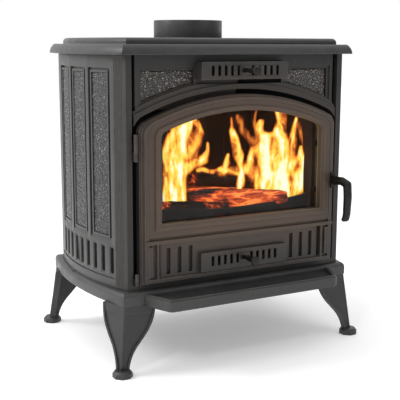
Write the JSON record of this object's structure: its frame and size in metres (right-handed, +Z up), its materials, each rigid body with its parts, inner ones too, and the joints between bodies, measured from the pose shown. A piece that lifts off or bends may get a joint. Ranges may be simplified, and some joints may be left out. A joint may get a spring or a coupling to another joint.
{
  "type": "wood burning stove",
  "caption": "Free-standing cast-iron wood stove with bowed sides, an arched glazed door, sliding air controls, an ash shelf and a top flue collar.",
  "frame": {"origin": "on the floor, under the middle of the whole object in plan", "axes": "+Z up; -Y towards the front, where the door is; +X to the viewer's right when facing the door"},
  "size_m": [0.5938, 0.4736, 0.6883],
  "materials": {
    "painted_iron": "satin stove paint on fine cast texture",
    "black_steel": "black oxide, satin",
    "plain_steel": "plain turned steel, dull",
    "fire_lining": "sooted vermiculite board",
    "rope_seal": "braided glass fibre",
    "fire_glass": "clear heat-resistant glass",
    "black_fittings": "black enamel, satin",
    "burning_wood": "charred split log",
    "sheet_steel": "heat-resistant black on sheet steel",
    "raw_iron": "uncoated casting, sooted"
  },
  "bodies": {
    "stove_body": {"base_plate": "painted_iron", "leg_front_left": "painted_iron", "leg_front_right": "painted_iron", "leg_rear_left": "painted_iron", "leg_rear_right": "painted_iron", "foot_pads": "painted_iron", "leg_bolts": "black_steel", "leg_nuts": "black_steel", "side_panel_left": "painted_iron", "side_panel_right": "painted_iron", "front_frame": "painted_iron", "rear_panel": "painted_iron", "top_plate": "painted_iron", "tie_rods": "black_steel", "tie_rod_nuts": "black_steel", "flue_collar": "painted_iron", "flue_collar_bolts": "black_steel", "flue_collar_nuts": "black_steel", "upper_air_cover": "painted_iron", "airwash_plate": "sheet_steel", "baffle_plate": "raw_iron", "firebox_back_liner": "fire_lining", "firebox_left_liner": "fire_lining", "firebox_right_liner": "fire_lining", "hearth_plate": "raw_iron", "grate": "raw_iron", "log_guard": "raw_iron", "ash_pan": "sheet_steel", "ash_shelf": "painted_iron", "ash_shelf_bolts": "black_steel", "hinge_pins": "black_steel", "latch_keeper": "black_steel", "latch_keeper_screws": "plain_steel", "firewood": "burning_wood"},
    "door": {"door_frame": "painted_iron", "door_rope_seal": "rope_seal", "door_glass": "fire_glass", "glass_gasket": "rope_seal", "glass_clips": "black_steel", "glass_clip_screws": "plain_steel", "lower_air_cover": "painted_iron", "handle_escutcheon": "black_fittings"},
    "door_handle_set": {"door_handle": "black_fittings", "handle_spindle": "plain_steel", "latch_cam": "plain_steel", "latch_cam_nut": "plain_steel"},
    "upper_air_control": {"upper_air_slider": "sheet_steel", "upper_air_knob": "black_fittings"},
    "lower_air_control": {"lower_air_slider": "sheet_steel", "lower_air_knob": "black_fittings"}
  },
  "joints": [
    {"name": "door_swing", "type": "hinge", "parent": "stove_body", "child": "door", "pos_m": [-0.236, -0.16625, 0.3], "axis": [0, 0, -1], "range_deg": [0, 110]},
    {"name": "handle_turn", "type": "hinge", "parent": "door", "child": "door_handle_set", "pos_m": [0.222, -0.17925, 0.351], "axis": [0, -1, 0], "range_deg": [0, 80]},
    {"name": "upper_air_slide", "type": "slide", "parent": "stove_body", "child": "upper_air_control", "axis": [1, 0, 0], "range_m": [-0.007, 0.007]},
    {"name": "lower_air_slide", "type": "slide", "parent": "door", "child": "lower_air_control", "axis": [1, 0, 0], "range_m": [-0.007, 0.007]}
  ]
}
